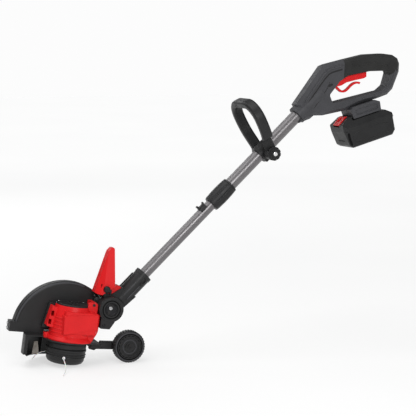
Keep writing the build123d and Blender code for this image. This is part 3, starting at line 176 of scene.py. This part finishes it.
class Shader:
    """One procedural material, built node by node on a Principled shader."""

    def __init__(self, name, rough=0.5, metallic=0.0):
        self.material = bpy.data.materials.new(name)
        self.material.use_nodes = True
        self.tree = self.material.node_tree
        self.tree.nodes.clear()
        self.surface = self.node("BsdfPrincipled")
        out = self.node("OutputMaterial")
        self.tree.links.new(self.surface.outputs[0], out.inputs[0])
        self.set("Roughness", rough)
        self.set("Metallic", metallic)
        self.coords = self.node("TexCoord").outputs["Object"]

    def node(self, kind, **settings):
        made = self.tree.nodes.new("ShaderNode" + kind)
        for key, value in settings.items():
            setattr(made, key, value)
        return made

    def feed(self, node, key, value):
        """Links a socket, or sets a number or colour."""
        if isinstance(value, bpy.types.NodeSocket):
            self.tree.links.new(value, node.inputs[key])
        elif isinstance(value, tuple) and len(value) == 3 and node.inputs[key].type == "RGBA":
            node.inputs[key].default_value = (*value, 1)
        else:
            node.inputs[key].default_value = value

    def set(self, key, value):
        self.feed(self.surface, key, value)

    def stretched(self, scale, turn=(0, 0, 0)):
        """Object coordinates stretched and turned, for grain that runs one way."""
        made = self.node("Mapping")
        self.feed(made, "Vector", self.coords)
        self.feed(made, "Scale", scale)
        self.feed(made, "Rotation", turn)
        return made.outputs[0]

    def noise(self, scale, detail=4, rough=0.55, where=None):
        made = self.node("TexNoise")
        self.feed(made, "Vector", where or self.coords)
        self.feed(made, "Scale", scale)
        self.feed(made, "Detail", detail)
        self.feed(made, "Roughness", rough)
        return made.outputs["Fac"]

    def cells(self, scale):
        made = self.node("TexVoronoi")
        self.feed(made, "Vector", self.coords)
        self.feed(made, "Scale", scale)
        return made.outputs["Distance"]

    def span(self, value, low, high, new_low, new_high):
        made = self.node("MapRange")
        for key, number in zip(("Value", "From Min", "From Max", "To Min", "To Max"),
                               (value, low, high, new_low, new_high)):
            self.feed(made, key, number)
        return made.outputs[0]

    def mix(self, factor, first, second, blend="MIX"):
        made = self.node("Mix", data_type="RGBA", blend_type=blend)
        self.feed(made, 0, factor)
        self.feed(made, 6, first)
        self.feed(made, 7, second)
        return made.outputs[2]

    def sum(self, first, second, kind="ADD"):
        made = self.node("Math", operation=kind)
        self.feed(made, 0, first)
        self.feed(made, 1, second)
        return made.outputs[0]

    def rounded(self, radius):
        """Normal that rounds sharp edges."""
        made = self.node("Bevel", samples=4)
        self.feed(made, "Radius", radius)
        return made.outputs[0]

    def edges(self, radius):
        """1 along sharp edges, where handling rubs, and 0 on faces."""
        dot = self.node("VectorMath", operation="DOT_PRODUCT")
        self.feed(dot, 0, self.rounded(radius))
        self.feed(dot, 1, self.node("NewGeometry").outputs["Normal"])
        return self.span(dot.outputs["Value"], 0.995, 0.8, 0.0, 1.0)

    def relief(self, height, depth, strength=1.0, over=None):
        """Bump of a given depth in metres, laid over a normal."""
        made = self.node("Bump")
        self.feed(made, "Strength", strength)
        self.feed(made, "Distance", depth)
        self.feed(made, "Height", height)
        if over:
            self.feed(made, "Normal", over)
        return made.outputs[0]


def moulded(name, colour, rough, grain=1500.0, depth=0.00006, worn=0.25, tone=0.12, edge=0.0006, coat=0.0,
             shine=0.26):
    """Moulded plastic: cloudy tone, fine etched texture, edges rubbed lighter."""
    made = Shader(name, rough)
    cloud = made.noise(28, 5)
    speck = made.noise(420, 3)
    low = tuple(c * (1 - tone) for c in colour)
    high = tuple(min(1, c * (1 + tone)) for c in colour)
    base = made.mix(made.span(cloud, 0.3, 0.7, 0, 1), low, high)
    base = made.mix(made.span(speck, 0.45, 0.75, 0, 0.35), base, tuple(c * 0.75 for c in colour))
    rubbed = tuple(min(1, c * 1.3 + 0.02) for c in colour)
    wear = made.sum(made.edges(edge), made.span(cloud, 0.35, 0.7, 0.4 * worn, worn), "MULTIPLY")
    base = made.mix(wear, base, rubbed)
    made.set("Base Color", base)
    made.set("Roughness", made.span(made.noise(60, 4), 0.3, 0.7, rough - 0.06, rough + 0.06))
    made.set("Coat Weight", coat)
    made.set("Coat Roughness", 0.25)
    made.set("Specular IOR Level", shine)
    pits = made.cells(grain)
    fine = made.noise(grain * 1.7, 2)
    made.set("Normal", made.relief(made.sum(pits, fine), depth, 0.5, made.rounded(edge)))
    return made.material


def rubber(name, colour, rough=0.62):
    """Soft overmould: dull, with a sheen at grazing angles and a pebbled skin."""
    made = Shader(name, rough)
    cloud = made.noise(34, 5)
    low, high = (tuple(c * share for c in colour) for share in (0.85, 1.2))
    base = made.mix(made.span(cloud, 0.3, 0.7, 0, 1), low, high)
    dust = made.span(made.noise(9, 6), 0.52, 0.8, 0, 0.18)
    made.set("Base Color", made.mix(dust, base, (0.05, 0.049, 0.047)))
    made.set("Roughness", made.span(made.noise(80, 3), 0.3, 0.7, rough - 0.07, rough + 0.06))
    made.set("Specular IOR Level", 0.2)
    made.set("Sheen Weight", 0.06)
    made.set("Sheen Roughness", 0.5)
    pebbles = made.cells(900)
    skin = made.sum(pebbles, made.noise(2400, 2))
    made.set("Normal", made.relief(skin, 0.00008, 0.6, made.rounded(0.0009)))
    return made.material


def tube_paint():
    """Satin metallic paint on a drawn tube: flakes, faint draw lines, light scuffs."""
    along = math.atan2(SHAFT.col[0].z, SHAFT.col[0].x)
    made = Shader("tube_paint", 0.36, 0.55)
    drawn = made.stretched((9, 420, 420), (0, along, 0))
    streaks = made.noise(1.0, 3, where=drawn)
    flakes = made.cells(2600)
    base = made.mix(made.span(streaks, 0.3, 0.7, 0, 1), (0.132, 0.125, 0.129), (0.158, 0.150, 0.154))
    base = made.mix(made.span(flakes, 0.0, 0.25, 0.35, 0), base, (0.3, 0.29, 0.3))
    scuffs = made.span(made.noise(46, 8, 0.7), 0.6, 0.72, 0, 0.35)
    base = made.mix(scuffs, base, (0.19, 0.185, 0.19))
    made.set("Base Color", base)
    made.set("Roughness", made.span(made.noise(50, 5), 0.3, 0.7, 0.3, 0.42))
    made.set("Coat Weight", 0.25)
    made.set("Coat Roughness", 0.22)
    made.set("Normal", made.relief(made.sum(streaks, flakes), 0.00002, 0.35))
    return made.material


def metal(name, colour, rough, grain=(260, 260, 2600), dirt=0.3):
    """Bare metal: brushed one way, tarnished in patches, brighter at the edges."""
    made = Shader(name, rough, 1.0)
    stain = (0.2, 0.17, 0.14)
    brushed = made.noise(1.0, 4, where=made.stretched(grain))
    base = made.mix(brushed, tuple(c * 0.8 for c in colour), tuple(min(1, c * 1.15) for c in colour))
    patch = made.span(made.noise(70, 7, 0.65), 0.5, 0.75, 0, dirt)
    base = made.mix(patch, base, stain)
    made.set("Base Color", made.mix(made.edges(0.0003), base, tuple(min(1, c * 1.3) for c in colour)))
    made.set("Roughness", made.sum(made.span(brushed, 0.3, 0.7, rough - 0.08, rough + 0.08),
                                   made.span(patch, 0, 1, 0, 0.3)))
    made.set("Normal", made.relief(brushed, 0.00002, 0.5, made.rounded(0.0003)))
    return made.material


def nylon():
    """Trimmer line: milky, drawn along its length, scuffed where it has struck."""
    made = Shader("line_nylon", 0.38)
    cloud = made.noise(150, 4)
    made.set("Base Color", made.mix(cloud, (0.80, 0.81, 0.80), (0.93, 0.93, 0.92)))
    made.set("Subsurface Weight", 0.15)
    made.set("Subsurface Scale", 0.001)
    made.set("Roughness", made.span(made.noise(400, 3), 0.3, 0.7, 0.3, 0.46))
    made.set("Normal", made.relief(made.noise(900, 3), 0.00005, 0.4))
    return made.material


def circuit_board():
    """Green solder mask with traces, only seen when the battery is taken apart."""
    made = Shader("board", 0.35)
    squares = made.node("TexBrick")
    made.feed(squares, "Vector", made.coords)
    made.feed(squares, "Scale", 160.0)
    made.feed(squares, "Color1", (0.02, 0.16, 0.06))
    made.feed(squares, "Color2", (0.025, 0.2, 0.08))
    made.feed(squares, "Mortar", (0.05, 0.3, 0.12))
    made.set("Base Color", made.mix(made.noise(60), squares.outputs[0], (0.02, 0.12, 0.05)))
    made.set("Normal", made.relief(squares.outputs["Fac"], 0.0001, 0.5))
    return made.material


MATERIALS = {
    "tube_paint": tube_paint(),
    "slate_plastic": moulded("slate_plastic", (0.053, 0.053, 0.058), 0.5, 1300, 0.00007),
    "black_plastic": moulded("black_plastic", (0.0175, 0.0175, 0.018), 0.44, 1500, 0.00006),
    "grip_rubber": rubber("grip_rubber", (0.02, 0.02, 0.0195)),
    "red_plastic": moulded("red_plastic", (0.7, 0.013, 0.015), 0.38, 1900, 0.00003, 0.2, 0.05, shine=0.2),
    "ring_plastic": moulded("ring_plastic", (0.3, 0.3, 0.3), 0.42, 1500, 0.00004),
    "steel": metal("steel", (0.56, 0.56, 0.57), 0.34),
    # near-black plastic for strips laid in grooves and gaps: painted shade, darker than any real part, standing
    # for the shadow down in them
    "painted_gap_shade": moulded("painted_gap_shade", (0.004, 0.004, 0.0042), 0.6, 1500, 0.00006, shine=0.1),
    "black_steel": metal("black_steel", (0.03, 0.03, 0.032), 0.36, dirt=0.2),
    "blade_steel": metal("blade_steel", (0.34, 0.31, 0.28), 0.5, (2400, 300, 300), dirt=0.6),
    "bright_metal": metal("bright_metal", (0.82, 0.82, 0.82), 0.18, dirt=0.1),
    "terminal_brass": metal("terminal_brass", (0.7, 0.52, 0.24), 0.3),
    "copper_rotor": metal("copper_rotor", (0.6, 0.27, 0.13), 0.4, (2000, 2000, 120)),
    "board": circuit_board(),
    "cell_wrap": moulded("cell_wrap", (0.05, 0.14, 0.36), 0.25, 700, 0.00002, coat=0.4),
    "line_nylon": nylon(),
}
SLOT_OF = {part["node"]: part["material_slot"] for part in frame["record"]["subparts"]}


def dress_cad_nodes():
    """Gives every CAD node that stays the finish of its slot."""
    for name, node in NODES.items():
        node.data.materials.clear()
        node.data.materials.append(MATERIALS[SLOT_OF[name]])


# ---------------------------------------------------------------- building tools


def finish_piece(made, body, slot):
    """Puts a new piece in the scene with its finish, on its body."""
    scene.collection.objects.link(made)
    made.data.materials.clear()
    made.data.materials.append(MATERIALS[slot])
    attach(made, body)
    return made


def surface_piece(name, rings, closed, body, slot):
    """Skin over a row of equal rings of points, capped at both ends unless closed."""
    around = len(rings[0])
    faces = []
    for row in range(len(rings) - (0 if closed else 1)):
        upper = (row + 1) % len(rings)
        for place in range(around):
            following = (place + 1) % around
            faces.append((row * around + place, row * around + following,
                          upper * around + following, upper * around + place))
    if not closed:
        faces.append(tuple(range(around)))
        faces.append(tuple(range((len(rings) - 1) * around, len(rings) * around)))
    mesh = bpy.data.meshes.new(name)
    mesh.from_pydata([tuple(point) for ring in rings for point in ring], [], faces)
    tool = bmesh.new()
    tool.from_mesh(mesh)
    bmesh.ops.recalc_face_normals(tool, faces=tool.faces)
    tool.to_mesh(mesh)
    tool.free()
    for face in mesh.polygons:
        face.use_smooth = True
    made = bpy.data.objects.new(name, mesh)
    smooth = made.modifiers.new("smooth", "SUBSURF")
    smooth.levels = smooth.render_levels = 1
    return finish_piece(made, body, slot)


def strip(name, place, path, half, rise, body, slot, out=(0, 0, 1), closed=False, sink=0.5):
    """Raised rounded strip along a path of local points; out is where its crown faces."""
    outs = out if isinstance(out, list) else [out] * len(path)
    section = [
        (-1, -sink), (-1, 0.3 * rise), (-0.55, 0.9 * rise), (0, rise),
        (0.55, 0.9 * rise), (1, 0.3 * rise), (1, -sink),
    ]
    rings = []
    for index, point in enumerate(path):
        after = path[(index + 1) % len(path)] if closed or index + 1 < len(path) else point
        before = path[index - 1] if closed or index else point
        along = (Vector(after) - Vector(before)).normalized()
        across = along.cross(Vector(outs[index])).normalized()
        up = across.cross(along)
        rings.append([at(place, *(Vector(point) + across * (half * a) + up * b)) for a, b in section])
    return surface_piece(name, rings, closed, body, slot)


def ring_strip(name, centre, radius, half, rise, body, slot):
    """Closed round strip in the head's side view."""
    steps = 60
    turns = [math.tau * step / steps for step in range(steps)]
    path = [(centre[0] + radius * math.cos(a), centre[1] + radius * math.sin(a), centre[2]) for a in turns]
    return strip(name, HEAD, path, half, rise, body, slot, closed=True)


def girdle(name, height, radius, start, end, half, rise, body, slot, middle=0.0):
    """Strip round an upright axis of the head, at a height; angles from +x towards the near side."""
    whole = abs(end - start) >= 360
    count = 72 if whole else 18
    last = end - 5 if whole else end
    turns = [math.radians(start + (last - start) * step / (count - 1)) for step in range(count)]
    path = [(middle + radius * math.cos(a), height, radius * math.sin(a)) for a in turns]
    outs = [(math.cos(a), 0, math.sin(a)) for a in turns]
    return strip(name, HEAD, path, half, rise, body, slot, outs, whole)


def screw_head(name, centre, radius, rise, slot):
    """Domed screw head with a lobed recess on the head, facing the near side."""
    steps, lobes = 48, 6
    profile = [
        (1.0, -0.4), (1.0, 0.45), (0.88, 0.85), (0.62, 1.0),
        (0.5, 0.95), (0.46, 0.2), (0.2, 0.15), (0.03, 0.15),
    ]
    rings = []
    for step in range(steps):
        turn = math.tau * step / steps
        ring = []
        for share, height in profile:
            recess = 1 + 0.2 * math.cos(lobes * turn) if share < 0.55 else 1
            reach = radius * share * recess
            ring.append(at(HEAD, centre[0] + reach * math.cos(turn), centre[1] + reach * math.sin(turn),
                           centre[2] + rise * height))
        rings.append(ring)
    return surface_piece(name, rings, True, "head", slot)


# ---------------------------------------------------------------- moulded details of the head, with painted groove shade and a painted rim highlight
TILT = (78.0, 133.0)               # tilt axis
WHEEL = (130.2, 55.4)              # wheel axis
HOOD_MIDDLE, HOOD_R, HOOD_TAPER = 4.0, 46.6, 0.06
HOOD_R_HEIGHT = 67                 # where the hood's radius is HOOD_R
GUARD_MIDDLE, GUARD_RIM_R, GUARD_FACE = (-4, 65), 109.3, -23.2
SPOOL_R, SPOOL_TAPER, SPOOL_RINGS = 42.1, 0.06, (22, 27)
ARM_FACE = 16.9                    # near face of the wheel's arm


def hood_ridges():
    for number, height in enumerate(range(66, 107, 8)):
        radius = HOOD_R - HOOD_TAPER * (height - HOOD_R_HEIGHT)
        girdle(f"hood_ridge_{number}", height, radius, 178, 126, 1.6, 1.7, "head", "red_plastic", HOOD_MIDDLE)


def tilt_disc():
    ring_strip("tilt_ring_outer", (*TILT, 38.8), 23.2, 1.3, 0.9, "head", "black_plastic")
    ring_strip("tilt_ring_inner", (*TILT, 38.6), 10.8, 0.9, 0.7, "head", "black_steel")
    # near-black ring in the disc's groove: painted shade for the groove
    ring_strip("tilt_groove_shade", (*TILT, 37.1), 19.3, 1.3, 0.5, "head", "painted_gap_shade")
    screw_head("tilt_screw", (TILT[0] - 2, TILT[1] + 3, 37.3), 4.2, 1.6, "steel")
    screw_head("bracket_screw_head", (66, 97, 36.9), 3.0, 0.9, "black_steel")


def guard_rim_highlight():
    # lighter slate strip along the guard's rim chamfer: a painted highlight for light caught on the rolled rim
    turns = [math.radians(72 + 104 * step / 48) for step in range(49)]
    across, up = GUARD_MIDDLE
    path = [
        (across + GUARD_RIM_R * math.cos(a), up + GUARD_RIM_R * math.sin(a), GUARD_FACE) for a in turns
    ]
    outs = [(0.7 * math.cos(a), 0.7 * math.sin(a), 0.7) for a in turns]
    strip("guard_rim_highlight", HEAD, path, 2.4, 1.3, "head", "slate_plastic", outs)


def spool_rings():
    for number, height in enumerate(SPOOL_RINGS):
        radius = SPOOL_R + SPOOL_TAPER * (height - SPOOL_RINGS[0])
        girdle(f"spool_ring_{number}", height, radius, 0, 360, 1.2, 1.5, "spool_head", "black_plastic")


def arm_ribs():
    for number, (start, low, high) in enumerate(((72, 56.5, 59.5), (70, 45.5, 48.5))):
        end = 118
        middle = ((start + end) / 2, (low + high) / 2)
        path = [(start, low, ARM_FACE), (*middle, ARM_FACE), (end, high, ARM_FACE)]
        strip(f"arm_rib_{number}", HEAD, path, 1.0, 1.0, "head", "black_plastic")


def wheel_details():
    ring_strip("wheel_ring", (*WHEEL, 37.4), 15, 1.3, 1.4, "edge_wheel", "slate_plastic")
    ring_strip("wheel_bead", (*WHEEL, 39.8), 30.8, 1.3, 1.2, "edge_wheel", "slate_plastic")
    # near-black ring inside the bead: painted shade for the groove there
    ring_strip("wheel_groove_shade", (*WHEEL, 38.2), 27.8, 1.4, 0.4, "edge_wheel", "painted_gap_shade")
    spokes = 8
    for number in range(spokes):
        turn = math.tau * number / spokes
        path = [
            (WHEEL[0] + r * math.cos(turn), WHEEL[1] + r * math.sin(turn), 37.4) for r in (10, 14, 18, 20.6)
        ]
        strip(f"wheel_spoke_{number}", HEAD, path, 0.9, 0.9, "edge_wheel", "black_plastic")


# ---------------------------------------------------------------- neck and front handle
LOOP_LEAN = math.radians(26.3)
LOOP = local_frame(JOINTS["front_handle_tilt"]["pos_m"], (math.cos(LOOP_LEAN), 0, math.sin(LOOP_LEAN)))
NECK_FACE = 18.5                   # near side of the round neck, just inside its radius of 19
LOOP_FACE = -11.9                  # face of the loop towards the head


def shaft_details():
    # ribs in lighter slate plastic on the black neck: painted highlights along them
    for number, height in enumerate((-5.5, 6.5)):
        path = [(place, height, NECK_FACE) for place in (-318, -302, -286, -272)]
        strip(f"neck_rib_highlight_{number}", SHAFT, path, 1.3, 1.3, "lower_shaft", "slate_plastic")
    turns = [math.tau * step / 24 for step in range(24)]
    loop = [(-262 + 7 * math.cos(a), -5 + 4 * math.sin(a), 18.2) for a in turns]
    strip("neck_clip", SHAFT, loop, 1.0, 1.4, "lower_shaft", "black_plastic", closed=True, sink=1.5)
    for number, height in enumerate((119, 122, 125)):
        path = [(LOOP_FACE, height, depth) for depth in (-8, -16, -24, -30)]
        strip(f"bail_rib_{number}", LOOP, path, 0.8, 0.7, "front_handle", "black_plastic", (-1, 0, 0))


# ---------------------------------------------------------------- rear handle and battery
GRIP_FROM_FOOT = (724, 643)        # rear grip, measured from the motor's foot
HANDLE_FACE, DOCK_FACE, BATTERY_FACE = 18.9, 26.9, 36.9


def ground(points):
    """Places on the handle's near face, measured from the motor's foot, as local points."""
    return [(x - GRIP_FROM_FOOT[0], z - GRIP_FROM_FOOT[1], HANDLE_FACE) for x, z in points]


def handle_details():
    lines = (
        ("handle_ridge", 2.4, 1.7, "slate_plastic",
         [(557, 553), (584, 589), (611, 624), (620, 630.5), (640, 636), (656, 640)]),
        # black strips along the slate handle's creases: painted shade for the grooves
        ("handle_shade_line", 2.0, 0.5, "black_plastic",
         [(563, 549), (590, 585), (616, 618), (624, 623), (641, 627.5), (655, 631)]),
        ("handle_low_shade_line", 1.2, 0.4, "black_plastic",
         [(581, 541), (602, 569), (619, 592), (622, 604)]),
        ("grip_seam", 1.7, 0.5, "black_plastic",
         [(660.8, 645), (659.5, 632), (657.8, 612)]),
        ("grip_emboss", 1.6, 1.2, "grip_rubber",
         [(676, 643), (686, 636), (714, 643.5), (742, 646.5), (752, 638), (774, 639.5)]),
        ("post_ridge", 2.2, 1.6, "slate_plastic",
         [(791, 632), (786, 615), (779.5, 599), (771, 586), (757, 575.5), (732, 569.5), (700, 562)]),
        # black strip where the pivot slot opens: painted shade for the slot
        ("pivot_slot_shade", 3.2, 0.6, "black_plastic",
         [(616, 593), (623, 595), (630, 597.5)]),
    )
    for name, half, rise, slot, points in lines:
        strip(name, SIDE, ground(points), half, rise, "rear_unit", slot)
    panel = [(-23, 40), (5, 40), (33, 40), (35, 46), (35, 52), (5, 53), (-25, 52), (-25, 46)]
    path = [(x, y, DOCK_FACE) for x, y in panel]
    strip("dock_panel", PACK, path, 0.9, 0.7, "rear_unit", "slate_plastic", closed=True)


def battery_details():
    side = [(-48, -20), (0, -20), (42, -20), (47, -12), (49, 6), (0, 6), (-50, 6), (-50, -10)]
    path = [(x, y, BATTERY_FACE) for x, y in side]
    strip("battery_panel", PACK, path, 0.9, 0.6, "battery", "black_plastic", closed=True)
    # wide near-black strip down the battery's side: painted shade for the groove there
    gap = [(x, y, BATTERY_FACE - 0.2) for x, y in ((-57, -24), (-59, -12), (-60, 0), (-59, 9))]
    strip("battery_groove_shade", PACK, gap, 3.4, 0.7, "battery", "painted_gap_shade")
    end = [(-64.6, -12, depth) for depth in (-16, -8, 0, 8, 16)]
    strip("battery_end_line", PACK, end, 0.8, 0.8, "battery", "black_plastic", (-0.98, -0.18, 0), sink=1.2)


# ---------------------------------------------------------------- trimmer line
LINE_DIAMETER = 0.002


def line_end(name, node, points):
    """Free end of the trimmer line on one smooth curve, points in metres."""
    curve = bpy.data.curves.new(name, "CURVE")
    curve.dimensions = "3D"
    curve.bevel_depth = LINE_DIAMETER / 2
    curve.bevel_resolution = 6
    curve.resolution_u = 12
    curve.use_fill_caps = True
    spline = curve.splines.new("NURBS")
    spline.points.add(len(points) - 1)
    for point, place in zip(spline.points, points):
        point.co = (*place, 1)
    spline.order_u = 3
    spline.use_endpoint_u = True
    made = finish_piece(bpy.data.objects.new(name, curve), "spool_head", "line_nylon")
    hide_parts(node)


LINE_NEAR = [
    (-0.7352, -0.0422, -0.6194), (-0.7374, -0.0486, -0.6201), (-0.7376, -0.0554, -0.6234),
    (-0.7374, -0.0650, -0.6290), (-0.7395, -0.0750, -0.6340), (-0.7430, -0.0850, -0.6378),
    (-0.7482, -0.0950, -0.6402), (-0.7535, -0.1045, -0.6416),
]
LINE_FAR = [
    (-0.7065, 0.0422, -0.6238), (-0.7051, 0.0492, -0.6240), (-0.7084, 0.0560, -0.6242),
    (-0.7154, 0.0604, -0.6244), (-0.7260, 0.0620, -0.6246), (-0.7380, 0.0610, -0.6246),
    (-0.7500, 0.0580, -0.6242), (-0.7615, 0.0536, -0.6242), (-0.7710, 0.0485, -0.6262),
    (-0.7790, 0.0435, -0.6304), (-0.7855, 0.0385, -0.6360),
]

make_camera()
make_studio()
make_floor()
line_end("trimmer_line_near", "line_end_near", LINE_NEAR)
line_end("trimmer_line_far", "line_end_far", LINE_FAR)
dress_cad_nodes()
hood_ridges()
tilt_disc()
guard_rim_highlight()
spool_rings()
arm_ribs()
wheel_details()
shaft_details()
handle_details()
battery_details()
